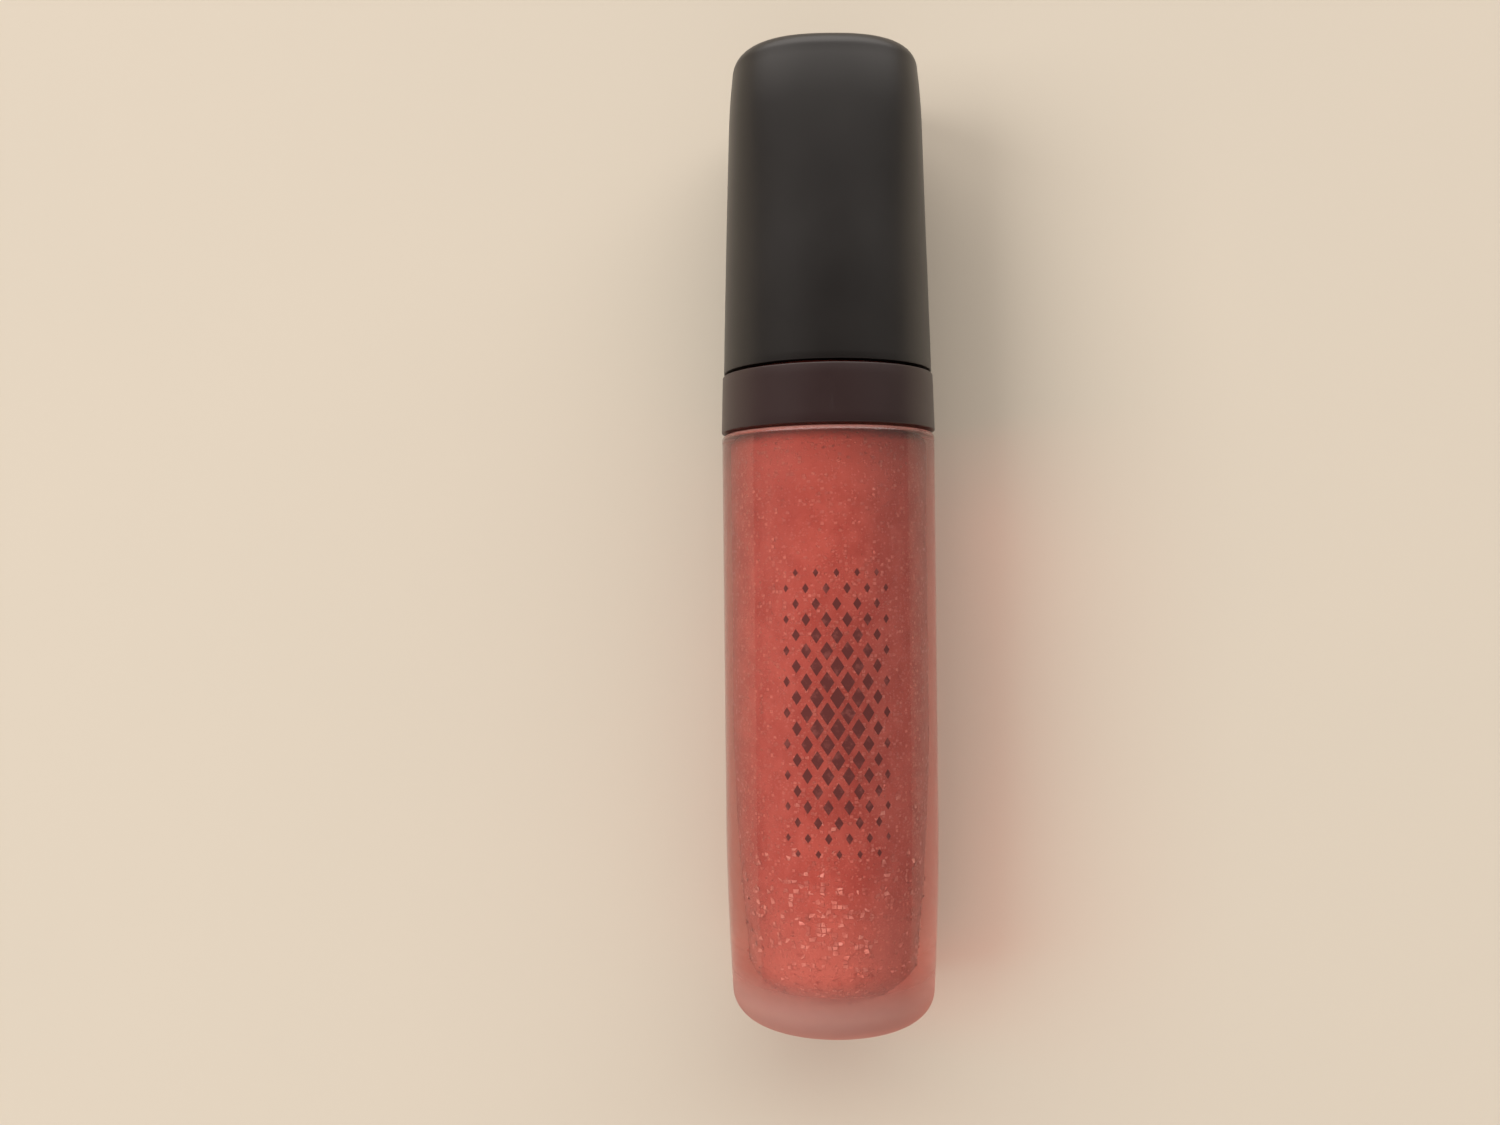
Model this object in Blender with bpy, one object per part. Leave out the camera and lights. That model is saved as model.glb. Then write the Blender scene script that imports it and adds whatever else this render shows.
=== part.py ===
"""Lip gloss tube: a clear thick-walled bottle with a screw cap that carries a flocked wand.

The tube lies on its side. Every piece is turned about its own local Z, base at z = 0 and cap upwards,
under a parent empty that lays the tube along world +Y and lifts it onto the table.
"""
import math

import bmesh
import bpy
from mathutils import Vector

MM = 0.001

# Fits and clearances
FIT_GAP = 0.2 * MM             # between pieces that are pressed or seated together
SEAM_GAP = 0.3 * MM            # open line between the cap and the collar
RUN_CLEARANCE = 0.3 * MM       # round the applicator where it is drawn past other pieces
THREAD_CLEARANCE = 0.2 * MM    # from the bottle's thread crest to the cap's thread crest

# Bottle body
CAVITY_RADIUS = 5.5 * MM
CAVITY_DRAFT = 0.4 * MM        # narrowing of the cavity towards its floor
CAVITY_DRAFT_TOP = 22.0 * MM   # height at which the narrowing starts
BOTTLE_WALL = 4.27 * MM
BOTTLE_HEIGHT = 53.0 * MM      # base to shoulder
BASE_THICKNESS = 2.2 * MM
FLOOR_RISE = 3.4 * MM          # height of the cavity's bowl-shaped floor
BASE_INSET = 0.5 * MM          # how far the side draws in towards the base
BASE_TAPER_HEIGHT = 18.0 * MM  # height over which it draws in
BASE_FILLET = 2.4 * MM
SHOULDER_FILLET = 0.5 * MM
CAVITY_SHOULDER = 3.0 * MM     # height over which the cavity rounds in to the neck

# Neck and its thread
NECK_LAND = 0.35 * MM          # plain neck above the thread
NECK_WALL = 1.7 * MM
THREAD_DEPTH = 0.7 * MM
THREAD_PITCH = 2.5 * MM
THREAD_TURNS = 1.5
THREAD_RUN_OUT = 0.5           # turns over which the thread fades out
FLANK_CREST = 0.18             # half width of the thread's crest, in pitches
FLANK_FOOT = 0.36              # half width of its foot, in pitches
THREAD_START = 2.2 * MM        # above the spigot
SPIGOT_STEP = 0.5 * MM         # spigot radius beyond the thread crest
SPIGOT_DROP = 0.5 * MM         # spigot top below the collar's top

# Collar
COLLAR_HEIGHT = 5.1 * MM
COLLAR_LIP = 0.03 * MM         # collar foot beyond the bottle's side
COLLAR_STEP = 0.12 * MM        # collar top beyond the cap's rim
COLLAR_BEVEL = 0.15 * MM

# Wiper
WIPER_LENGTH = 9.0 * MM
WIPER_WALL = 0.6 * MM
WIPER_LIP = 0.8 * MM           # how far the lip closes in from the sleeve
WIPER_LIP_HEIGHT = 2.0 * MM
WIPER_FLANGE = 0.8 * MM        # flange thickness
WIPER_FLANGE_WIDTH = 1.2 * MM

# Cap
CAP_HEIGHT = 28.8 * MM
CAP_WALL = 1.24 * MM
CAP_TAPER = 0.72 * MM          # straight part of the drawing-in, rim to crown
CAP_BULGE = 0.22 * MM          # curved part of the drawing-in, rim to crown
CAP_DRAW = 0.35 * MM           # further drawing-in just under the crown
CAP_DRAW_HEIGHT = 6.4 * MM     # height over which that happens
CAP_FILLET = 1.4 * MM          # round edge of the crown
CAP_DOME = 0.23 * MM           # rise of the crown at its middle
CAP_CROWN = 1.8 * MM           # thickness of the crown
CAP_RIM_BEVEL = 0.12 * MM
CAP_LEDGE = 0.9 * MM           # step that stops the inner cap
INNER_CAP_WALL = 0.7 * MM
INNER_CAP_CEILING = 1.2 * MM
INNER_CAP_RECESS = 0.4 * MM    # skirt end above the cap's rim
SEAL_THICKNESS = 0.8 * MM
SEAL_WIDTH = 2.2 * MM

# Wand
STEM_WALL = 0.7 * MM           # round the socket that holds the applicator's pin
STEM_HEAD_WIDTH = 1.6 * MM     # head beyond the stem
STEM_HEAD_HEIGHT = 1.0 * MM
STEM_CHAMFER = 0.3 * MM
PIN_RADIUS = 0.8 * MM
PIN_LENGTH = 5.0 * MM
CORE_RADIUS = 1.4 * MM
FLOCK_THICKNESS = 0.6 * MM
TIP_LENGTH = 13.0 * MM
TIP_SLANT_LENGTH = 9.0 * MM    # length of the flat, slanted face
TIP_SLANT_DEPTH = 1.9 * MM     # how deep that face cuts in at the tip
TIP_STAND_OFF = 2.6 * MM       # from the tip to the bottom of the cavity

# Gloss
GLOSS_TOP_DROP = 0.5 * MM      # gloss surface below the wiper
CHANNEL_END = 0.6 * MM         # room under the tip

# Facets
BODY_SIDES = 40
SMALL_SIDES = 24
ARC_STEPS = 5
TAPER_STEPS = 5
CAP_STEPS = 10
DOME_STEPS = 7
THREAD_RING_STEP = THREAD_PITCH / 6

# Radii, from the wand outwards
stem_radius = PIN_RADIUS + FIT_GAP + STEM_WALL
tip_radius = CORE_RADIUS + FIT_GAP + FLOCK_THICKNESS
channel_radius = tip_radius + RUN_CLEARANCE
orifice_radius = tip_radius + RUN_CLEARANCE
sleeve_radius = orifice_radius + WIPER_LIP + WIPER_WALL
neck_bore = sleeve_radius + FIT_GAP
neck_radius = neck_bore + NECK_WALL
thread_crest = neck_radius + THREAD_DEPTH
cap_thread_crest = thread_crest + THREAD_CLEARANCE
cap_thread_root = cap_thread_crest + THREAD_DEPTH
inner_cap_radius = cap_thread_root + INNER_CAP_WALL
cap_bore = inner_cap_radius + FIT_GAP
cap_radius = cap_bore + CAP_WALL
spigot_radius = thread_crest + SPIGOT_STEP
collar_bore = spigot_radius + FIT_GAP
bottle_radius = CAVITY_RADIUS + BOTTLE_WALL
collar_foot_radius = bottle_radius + COLLAR_LIP
collar_top_radius = cap_radius + COLLAR_STEP

# Heights, from the base upwards
collar_foot = BOTTLE_HEIGHT + FIT_GAP
collar_top = collar_foot + COLLAR_HEIGHT
spigot_top = collar_top - SPIGOT_DROP
thread_low = spigot_top + THREAD_START
thread_high = thread_low + (THREAD_TURNS + THREAD_RUN_OUT) * THREAD_PITCH
neck_top = thread_high + THREAD_PITCH / 2 + NECK_LAND
flange_foot = neck_top + FIT_GAP
flange_top = flange_foot + WIPER_FLANGE
wiper_end = neck_top - WIPER_LENGTH
seal_foot = flange_top + FIT_GAP
seal_top = seal_foot + SEAL_THICKNESS
ceiling_foot = seal_top + FIT_GAP
ceiling_top = ceiling_foot + INNER_CAP_CEILING
cap_rim = collar_top + SEAM_GAP
cap_top = cap_rim + CAP_HEIGHT
skirt_end = cap_rim + INNER_CAP_RECESS
ledge_height = ceiling_top + FIT_GAP
head_foot = ceiling_top + FIT_GAP
head_top = head_foot + STEM_HEAD_HEIGHT
tip_end = BASE_THICKNESS + TIP_STAND_OFF
tip_top = tip_end + TIP_LENGTH
stem_end = tip_top + FIT_GAP
floor_radius = CAVITY_RADIUS - CAVITY_DRAFT
floor_top = BASE_THICKNESS + FLOOR_RISE
cavity_straight_top = BOTTLE_HEIGHT - CAVITY_SHOULDER
gloss_top = wiper_end - GLOSS_TOP_DROP
axis_height = max(collar_foot_radius, collar_top_radius) * math.cos(math.pi / BODY_SIDES)


def clear_scene():
    for item in list(bpy.data.objects):
        bpy.data.objects.remove(item, do_unlink=True)


def finish(name, colour, roughness, metallic=0.0, transmission=0.0):
    """A Principled material of its own for one piece."""
    material = bpy.data.materials.new(name)
    material.use_nodes = True
    shader = material.node_tree.nodes["Principled BSDF"]
    shader.inputs["Base Color"].default_value = (*colour, 1.0)
    shader.inputs["Roughness"].default_value = roughness
    shader.inputs["Metallic"].default_value = metallic
    shader.inputs["Transmission Weight"].default_value = transmission
    return material


def arc(centre_radius, centre_height, radial, axial, start, end, steps=ARC_STEPS):
    """Points on a quarter ellipse, as (radius, height), from one angle in degrees to another."""
    points = []
    for step in range(steps + 1):
        angle = math.radians(start + (end - start) * step / steps)
        points.append((centre_radius + radial * math.cos(angle), centre_height + axial * math.sin(angle)))
    return points


def thread_rings(radius, low, high):
    """Rings on a plain cylinder, close enough together to carry a thread."""
    count = max(2, round((high - low) / THREAD_RING_STEP))
    return [(radius, low + (high - low) * step / count) for step in range(count + 1)]


def thread_rise(angle, height):
    """Share of the thread's depth at a place on the helix, with a run-out at both ends."""
    along = (height - thread_low) / THREAD_PITCH - angle / (2 * math.pi)
    nearest = max(0, round(along))
    turns = nearest + angle / (2 * math.pi)
    flank = (FLANK_FOOT - abs(along - nearest)) / (FLANK_FOOT - FLANK_CREST)
    run_out = min(turns, THREAD_TURNS + THREAD_RUN_OUT - turns) / THREAD_RUN_OUT
    return max(0.0, min(1.0, flank)) * max(0.0, min(1.0, 2 * run_out))


def turned(name, profile, sides, parent, material, closed=True, shape=None):
    """Spin a profile of (radius, height) points about the local Z axis, then move its points by a rule."""
    bm = bmesh.new()
    lean = math.pi / sides
    verts = []
    for radius, height in profile:
        verts.append(bm.verts.new((radius * math.cos(lean), radius * math.sin(lean), height)))
    edges = [bm.edges.new(pair) for pair in zip(verts, verts[1:])]
    if closed:
        edges.append(bm.edges.new((verts[-1], verts[0])))
    bmesh.ops.spin(bm, geom=verts + edges, cent=(0, 0, 0), axis=(0, 0, 1), angle=2 * math.pi,
                   steps=sides, use_merge=True)
    bmesh.ops.remove_doubles(bm, verts=bm.verts, dist=0.001 * MM)
    if shape:
        for vert in bm.verts:
            vert.co = shape(vert.co)
    bmesh.ops.recalc_face_normals(bm, faces=bm.faces)
    mesh = bpy.data.meshes.new(name)
    bm.to_mesh(mesh)
    bm.free()
    mesh.materials.append(material)
    mesh.shade_smooth()
    mesh.set_sharp_from_angle(angle=math.radians(35))
    piece = bpy.data.objects.new(name, mesh)
    piece.parent = parent
    bpy.context.collection.objects.link(piece)
    return piece


def moved_radially(point, distance):
    radius = math.hypot(point.x, point.y)
    scale = (radius + distance) / radius
    return Vector((point.x * scale, point.y * scale, point.z))


def raise_neck_thread(point):
    radius = math.hypot(point.x, point.y)
    if abs(radius - neck_radius) > 0.1 * THREAD_DEPTH or not spigot_top < point.z < neck_top:
        return point
    rise = thread_rise(math.atan2(point.y, point.x) % (2 * math.pi), point.z)
    return moved_radially(point, THREAD_DEPTH * rise)


def raise_cap_thread(point):
    """The cap's thread runs in the groove of the neck's, half a pitch higher."""
    radius = math.hypot(point.x, point.y)
    if abs(radius - cap_thread_root) > 0.1 * THREAD_DEPTH or not skirt_end < point.z < ceiling_foot:
        return point
    rise = thread_rise(math.atan2(point.y, point.x) % (2 * math.pi), point.z - THREAD_PITCH / 2)
    return moved_radially(point, -THREAD_DEPTH * rise)


def slanted(offset):
    """Rule that flattens the front of the tip onto a slanted face, kept at a distance from the core."""
    def flatten(point):
        slant_top = tip_end + TIP_SLANT_LENGTH
        if point.z >= slant_top:
            return point
        share = (slant_top - point.z) / TIP_SLANT_LENGTH
        face = CORE_RADIUS + offset - TIP_SLANT_DEPTH * share
        return Vector((point.x, min(point.y, face), point.z))
    return flatten


def make_bottle(parent):
    base_radius = bottle_radius - BASE_INSET
    inner_fillet = min(BASE_FILLET, BASE_TAPER_HEIGHT)
    profile = [(0.0, 0.0)]
    profile += arc(base_radius - inner_fillet, inner_fillet, inner_fillet, inner_fillet, -90, 0)
    for step in range(1, TAPER_STEPS + 1):
        share = step / TAPER_STEPS
        height = inner_fillet + (BASE_TAPER_HEIGHT - inner_fillet) * share
        profile.append((bottle_radius - BASE_INSET * (1 - share) ** 2, height))
    profile += arc(bottle_radius - SHOULDER_FILLET, BOTTLE_HEIGHT - SHOULDER_FILLET,
                   SHOULDER_FILLET, SHOULDER_FILLET, 0, 90, 3)
    profile += [(spigot_radius, BOTTLE_HEIGHT), (spigot_radius, spigot_top), (neck_radius, spigot_top)]
    profile += thread_rings(neck_radius, thread_low - THREAD_PITCH / 2, thread_high + THREAD_PITCH / 2)
    profile += [(neck_radius, neck_top), (neck_bore, neck_top)]
    profile += arc(neck_bore, cavity_straight_top, CAVITY_RADIUS - neck_bore, CAVITY_SHOULDER, 90, 0)
    profile.append((CAVITY_RADIUS, CAVITY_DRAFT_TOP))
    profile += arc(0.0, floor_top, floor_radius, FLOOR_RISE, 0, -90, DOME_STEPS)
    material = finish("clear_plastic", (0.92, 0.86, 0.84), 0.08, transmission=0.9)
    return turned("bottle", profile, BODY_SIDES, parent, material, closed=False, shape=raise_neck_thread)


def make_neck_collar(parent):
    profile = [
        (collar_bore, collar_foot),
        (collar_foot_radius - COLLAR_BEVEL, collar_foot),
        (collar_foot_radius, collar_foot + COLLAR_BEVEL),
        (collar_top_radius, collar_top - COLLAR_BEVEL),
        (collar_top_radius - COLLAR_BEVEL, collar_top),
        (collar_bore, collar_top),
    ]
    material = finish("collar_black", (0.030, 0.026, 0.025), 0.4)
    return turned("neck_collar", profile, BODY_SIDES, parent, material)


def make_wiper(parent):
    sleeve_inside = sleeve_radius - WIPER_WALL
    flange_radius = neck_bore + WIPER_FLANGE_WIDTH
    lip_outside = orifice_radius + WIPER_WALL
    profile = [
        (sleeve_inside, flange_top),
        (flange_radius, flange_top),
        (flange_radius, flange_foot),
        (sleeve_radius, flange_foot),
        (sleeve_radius, wiper_end + WIPER_LIP_HEIGHT),
        (lip_outside, wiper_end),
        (orifice_radius, wiper_end),
        (sleeve_inside, wiper_end + WIPER_LIP_HEIGHT),
    ]
    return turned("wiper", profile, SMALL_SIDES, parent, finish("wiper_natural", (0.80, 0.78, 0.74), 0.45))


def make_gloss_fill(parent):
    radius = CAVITY_RADIUS - FIT_GAP
    throat = neck_bore - FIT_GAP
    channel_foot = tip_end - CHANNEL_END
    profile = [(0.0, channel_foot), (channel_radius, channel_foot), (channel_radius, gloss_top)]
    profile.append((throat, gloss_top))
    profile += arc(throat, cavity_straight_top, radius - throat, CAVITY_SHOULDER, 90, 0)
    profile.append((radius, CAVITY_DRAFT_TOP))
    profile += arc(0.0, floor_top, floor_radius - FIT_GAP, FLOOR_RISE - FIT_GAP, 0, -90, DOME_STEPS)
    material = finish("gloss_coral", (0.46, 0.085, 0.065), 0.25)
    return turned("gloss_fill", profile, BODY_SIDES, parent, material, closed=False)


def cap_side(height):
    """Outer radius of the cap at a height: a straight taper, a slight bulge and a softer end."""
    share = (height - cap_rim) / CAP_HEIGHT
    near_crown = max(0.0, (height - cap_top) / CAP_DRAW_HEIGHT + 1)
    return cap_radius - CAP_TAPER * share - CAP_BULGE * share ** 2 - CAP_DRAW * near_crown ** 2


def make_outer_cap(parent):
    fillet_foot = cap_top - CAP_DOME - CAP_FILLET
    side = [(cap_bore + CAP_RIM_BEVEL, cap_rim), (cap_radius - CAP_RIM_BEVEL, cap_rim)]
    for step in range(CAP_STEPS + 1):
        low = cap_rim + CAP_RIM_BEVEL
        height = low + (fillet_foot - low) * step / CAP_STEPS
        side.append((cap_side(height), height))
    crown_radius = cap_side(fillet_foot) - CAP_FILLET
    side += arc(crown_radius, fillet_foot, CAP_FILLET, CAP_FILLET, 0, 90)[1:]
    side += [(crown_radius / 2, cap_top - CAP_DOME / 4), (0.0, cap_top)]
    hollow_top = cap_top - CAP_DOME - CAP_CROWN
    hollow_radius = min(cap_bore - CAP_LEDGE, cap_side(hollow_top) - CAP_WALL)
    hollow = [(0.0, hollow_top), (hollow_radius, hollow_top), (hollow_radius, ledge_height)]
    hollow += [(cap_bore, ledge_height), (cap_bore, cap_rim + CAP_RIM_BEVEL)]
    material = finish("cap_black", (0.028, 0.025, 0.024), 0.32)
    profile = hollow + side
    return turned("outer_cap", profile, BODY_SIDES, parent, material, closed=False)


def make_inner_cap(parent):
    stem_hole = stem_radius + FIT_GAP
    profile = [(cap_thread_root, skirt_end), (inner_cap_radius, skirt_end), (inner_cap_radius, ceiling_top)]
    profile += [(stem_hole, ceiling_top), (stem_hole, ceiling_foot), (cap_thread_root, ceiling_foot)]
    profile += reversed(thread_rings(cap_thread_root, thread_low, thread_high + THREAD_PITCH))
    material = finish("inner_cap_natural", (0.70, 0.68, 0.65), 0.5)
    return turned("inner_cap", profile, BODY_SIDES, parent, material, shape=raise_cap_thread)


def make_cap_seal(parent):
    inside = neck_radius - SEAL_WIDTH
    profile = [(inside, seal_foot), (neck_radius, seal_foot), (neck_radius, seal_top), (inside, seal_top)]
    return turned("cap_seal", profile, SMALL_SIDES, parent, finish("seal_foam", (0.85, 0.84, 0.80), 0.8))


def make_wand_stem(parent):
    head_radius = stem_radius + STEM_HEAD_WIDTH
    chamfer = min(STEM_CHAMFER, STEM_WALL / 2)
    socket_radius = PIN_RADIUS + FIT_GAP
    socket_top = stem_end + PIN_LENGTH + FIT_GAP
    profile = [
        (0.0, socket_top),
        (socket_radius, socket_top),
        (socket_radius, stem_end),
        (stem_radius - chamfer, stem_end),
        (stem_radius, stem_end + chamfer),
        (stem_radius, head_foot),
        (head_radius, head_foot),
        (head_radius, head_top),
        (0.0, head_top),
    ]
    material = finish("stem_black", (0.03, 0.03, 0.03), 0.35)
    return turned("wand_stem", profile, SMALL_SIDES, parent, material, closed=False)


def tip_blank(radius, end):
    """Half outline of the rounded tip, from its middle at the bottom up to its full radius."""
    return arc(0.0, end + radius, radius, radius, -90, 0, DOME_STEPS)


def slant_stations(radius, low):
    slant_top = tip_end + TIP_SLANT_LENGTH
    return [(radius, low + (slant_top - low) * step / TAPER_STEPS) for step in range(1, TAPER_STEPS + 1)]


def make_applicator_core(parent):
    end = tip_end + FLOCK_THICKNESS + FIT_GAP
    profile = tip_blank(CORE_RADIUS, end) + slant_stations(CORE_RADIUS, end + CORE_RADIUS)
    profile += [(CORE_RADIUS, tip_top), (PIN_RADIUS, tip_top), (PIN_RADIUS, stem_end + PIN_LENGTH)]
    profile += [(0.0, stem_end + PIN_LENGTH)]
    material = finish("core_white", (0.82, 0.80, 0.77), 0.5)
    return turned("applicator_core", profile, SMALL_SIDES, parent, material, closed=False, shape=slanted(0.0))


def make_applicator_flock(parent):
    lining_radius = CORE_RADIUS + FIT_GAP
    lining = tip_blank(lining_radius, tip_end + FLOCK_THICKNESS)
    lining += slant_stations(lining_radius, tip_end + FLOCK_THICKNESS + lining_radius)
    lining.append((lining_radius, tip_top))
    pile = tip_blank(tip_radius, tip_end) + slant_stations(tip_radius, tip_end + tip_radius)
    pile.append((tip_radius, tip_top))
    inner_rule = slanted(FIT_GAP)
    outer_rule = slanted(FIT_GAP + FLOCK_THICKNESS)
    inner_limit = (lining_radius + tip_radius) / 2

    def flatten(point):
        below = min(0.0, point.z - tip_end - tip_radius)
        reach = math.hypot(point.x, point.y, below)
        return inner_rule(point) if reach < inner_limit else outer_rule(point)

    profile = lining + pile[::-1]
    material = finish("flock_white", (0.86, 0.82, 0.78), 0.95)
    return turned("applicator_flock", profile, SMALL_SIDES, parent, material, closed=False, shape=flatten)


def lay_down(name):
    """Parent empty on the tube's axis, at the base, turned so that local Z points along world +Y."""
    empty = bpy.data.objects.new(name, None)
    empty.location = (0.0, -cap_top / 2, axis_height)
    empty.rotation_euler = (-math.pi / 2, 0.0, 0.0)
    bpy.context.collection.objects.link(empty)
    return empty


def main():
    clear_scene()
    bottle_axis = lay_down("bottle_axis")
    make_bottle(bottle_axis)
    make_neck_collar(bottle_axis)
    make_wiper(bottle_axis)
    make_gloss_fill(bottle_axis)
    cap_axis = lay_down("cap_axis")
    make_cap_seal(cap_axis)
    make_outer_cap(cap_axis)
    make_inner_cap(cap_axis)
    make_wand_stem(cap_axis)
    make_applicator_core(cap_axis)
    make_applicator_flock(cap_axis)
    bpy.context.view_layer.update()


main()
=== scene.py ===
# Lip gloss tube lying on a pale table, seen from straight above
import math
import random

import bpy
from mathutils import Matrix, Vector


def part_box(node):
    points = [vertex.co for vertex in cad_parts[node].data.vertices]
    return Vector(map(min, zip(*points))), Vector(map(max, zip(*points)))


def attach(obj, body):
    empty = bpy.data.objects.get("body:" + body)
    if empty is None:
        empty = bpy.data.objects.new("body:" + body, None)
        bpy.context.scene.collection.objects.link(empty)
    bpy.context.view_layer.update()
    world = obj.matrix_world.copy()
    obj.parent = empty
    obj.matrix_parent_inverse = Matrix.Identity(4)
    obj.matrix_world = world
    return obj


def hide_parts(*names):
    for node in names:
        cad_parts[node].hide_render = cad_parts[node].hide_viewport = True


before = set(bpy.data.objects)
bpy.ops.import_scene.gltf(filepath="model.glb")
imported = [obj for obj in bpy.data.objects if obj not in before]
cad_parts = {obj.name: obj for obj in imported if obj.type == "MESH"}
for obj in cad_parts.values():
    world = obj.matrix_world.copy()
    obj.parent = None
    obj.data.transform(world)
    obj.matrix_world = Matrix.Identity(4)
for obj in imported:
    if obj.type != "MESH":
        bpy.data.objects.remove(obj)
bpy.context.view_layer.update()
mm = 0.001

# the tube's axis runs along +Y; its height and its base come from the frame
collarLow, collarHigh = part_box("neck_collar")
axisHeight = (collarLow[2] + collarHigh[2]) / 2
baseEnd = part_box("bottle")[0][1]


def ends(node):
    # lowest and highest place of a node along the tube, in mm from the base
    low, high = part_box(node)
    return (low[1] - baseEnd) / mm, (high[1] - baseEnd) / mm


def reach(node):
    # outer radius of a node in mm
    low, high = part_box(node)
    return (high[0] - low[0]) / 2 / mm


print("frame loaded with", len(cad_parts), "nodes, tube is", round(ends("outer_cap")[1], 1), "mm long")


# Shader helpers

class Wire:
    # one socket of a node tree, for sums written in Python
    def __init__(self, tree, socket=None):
        self.tree = tree
        self.socket = socket

    def make(self, kind, settings, inputs, out=0):
        node = self.tree.nodes.new(kind)
        for name, value in settings.items():
            if name == "stops":
                ramp = node.color_ramp
                while len(ramp.elements) < len(value):
                    ramp.elements.new(0.5)
                for element, (place, colour) in zip(ramp.elements, value):
                    element.position = place
                    element.color = colour
            else:
                setattr(node, name, value)
        for name, value in inputs.items():
            if isinstance(value, Wire):
                self.tree.links.new(value.socket, node.inputs[name])
            else:
                node.inputs[name].default_value = value
        return Wire(self.tree, node.outputs[out])

    def other(self, name):
        # another output of the same node
        return Wire(self.tree, self.socket.node.outputs[name])

    def total(self, operation, first, second):
        return self.make("ShaderNodeMath", {"operation": operation}, {0: first, 1: second})

    def __add__(self, other):
        return self.total("ADD", self, other)

    def __radd__(self, other):
        return self.total("ADD", other, self)

    def __sub__(self, other):
        return self.total("SUBTRACT", self, other)

    def __rsub__(self, other):
        return self.total("SUBTRACT", other, self)

    def __mul__(self, other):
        return self.total("MULTIPLY", self, other)

    def __rmul__(self, other):
        return self.total("MULTIPLY", other, self)

    def __gt__(self, other):
        return self.total("GREATER_THAN", self, other)

    def __lt__(self, other):
        return self.total("LESS_THAN", self, other)


def newMaterial(name, **constants):
    # a Principled material with its even values set straight on the shader's sockets
    material = bpy.data.materials.new(name)
    material.use_nodes = True
    tree = material.node_tree
    shader = tree.nodes["Principled BSDF"]
    for label, value in constants.items():
        shader.inputs[label.replace("_", " ")].default_value = value
    return material, Wire(tree), shader


def feed(wire, shader, name):
    wire.tree.links.new(wire.socket, shader.inputs[name])


def objectPlace(start, stretch=(1, 1, 1)):
    place = start.make("ShaderNodeTexCoord", {}, {}, "Object")
    return start.make("ShaderNodeMapping", {}, {"Vector": place, "Scale": stretch})


def heightAlong(start):
    # place along the tube in mm from the base
    place = start.make("ShaderNodeSeparateXYZ", {}, {0: objectPlace(start)}, "Y")
    return (place - baseEnd) * (1 / mm)


def noise(start, place, scale, detail=3.0, rough=0.5):
    return start.make("ShaderNodeTexNoise", {}, {
        "Vector": place, "Scale": scale, "Detail": detail, "Roughness": rough})


def ranged(start, value, low, high, toLow, toHigh):
    return start.make("ShaderNodeMapRange", {"interpolation_type": "SMOOTHSTEP"}, {
        "Value": value, "From Min": low, "From Max": high, "To Min": toLow, "To Max": toHigh})


def mixColour(start, share, first, second):
    return start.make("ShaderNodeMix", {"data_type": "RGBA"}, {0: share, 6: first, 7: second}, 2)


def bump(start, height, distance, strength):
    return start.make("ShaderNodeBump", {}, {"Height": height, "Distance": distance, "Strength": strength})


def letLampsThrough(start, surface, tint):
    # lamps shine on through a surface and are tinted by it, so that what lies behind it is lit
    lampRay = start.make("ShaderNodeLightPath", {}, {}, "Is Shadow Ray")
    passing = start.make("ShaderNodeBsdfTransparent", {}, {"Color": tint})
    mixed = start.make("ShaderNodeMixShader", {}, {0: lampRay, 1: surface, 2: passing})
    start.tree.links.new(mixed.socket, start.tree.nodes["Material Output"].inputs["Surface"])


# Modelling helpers

smoothAngle = math.radians(35)
mergeGap = 0.0005 * mm
nearWall = 0.02  # how far from a plain wall, in mm, a point still counts as on it


def shares(steps):
    # even shares up to 1
    return [step / steps for step in range(1, steps + 1)]


def arc(middle, radii, fromDegrees, toDegrees, steps):
    # points (radius, height) in mm on a part of an ellipse
    points = []
    for step in range(steps + 1):
        angle = math.radians(fromDegrees + (toDegrees - fromDegrees) * step / steps)
        points.append((middle[0] + radii[0] * math.cos(angle), middle[1] + radii[1] * math.sin(angle)))
    return points


def between(first, last, steps):
    # points after the first one, up to the last one
    return [(first[0] + (last[0] - first[0]) * step / steps, first[1] + (last[1] - first[1]) * step / steps)
            for step in range(1, steps + 1)]


def softCorners(outline, size, steps=3, ring=True, most=0.4):
    # round the corners of a plain outline by up to size mm, and up to a share of each edge
    count = len(outline)
    points = []
    for index, corner in enumerate(outline):
        if not ring and index in (0, count - 1):
            points.append(corner)
            continue
        here = Vector(corner)
        before = Vector(outline[index - 1]) - here
        after = Vector(outline[(index + 1) % count]) - here
        start = here + before.normalized() * min(size, before.length * most)
        end = here + after.normalized() * min(size, after.length * most)
        for step in range(steps + 1):
            share = step / steps
            spot = start * (1 - share) ** 2 + here * 2 * share * (1 - share) + end * share ** 2
            points.append((spot.x, spot.y))
    return points


def startMesh():
    bpy.ops.object.select_all(action="DESELECT")


def nameMesh(name):
    piece = bpy.context.object
    piece.name = name
    piece.data.name = name
    bpy.ops.object.shade_smooth_by_angle(angle=smoothAngle)
    return piece


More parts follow.
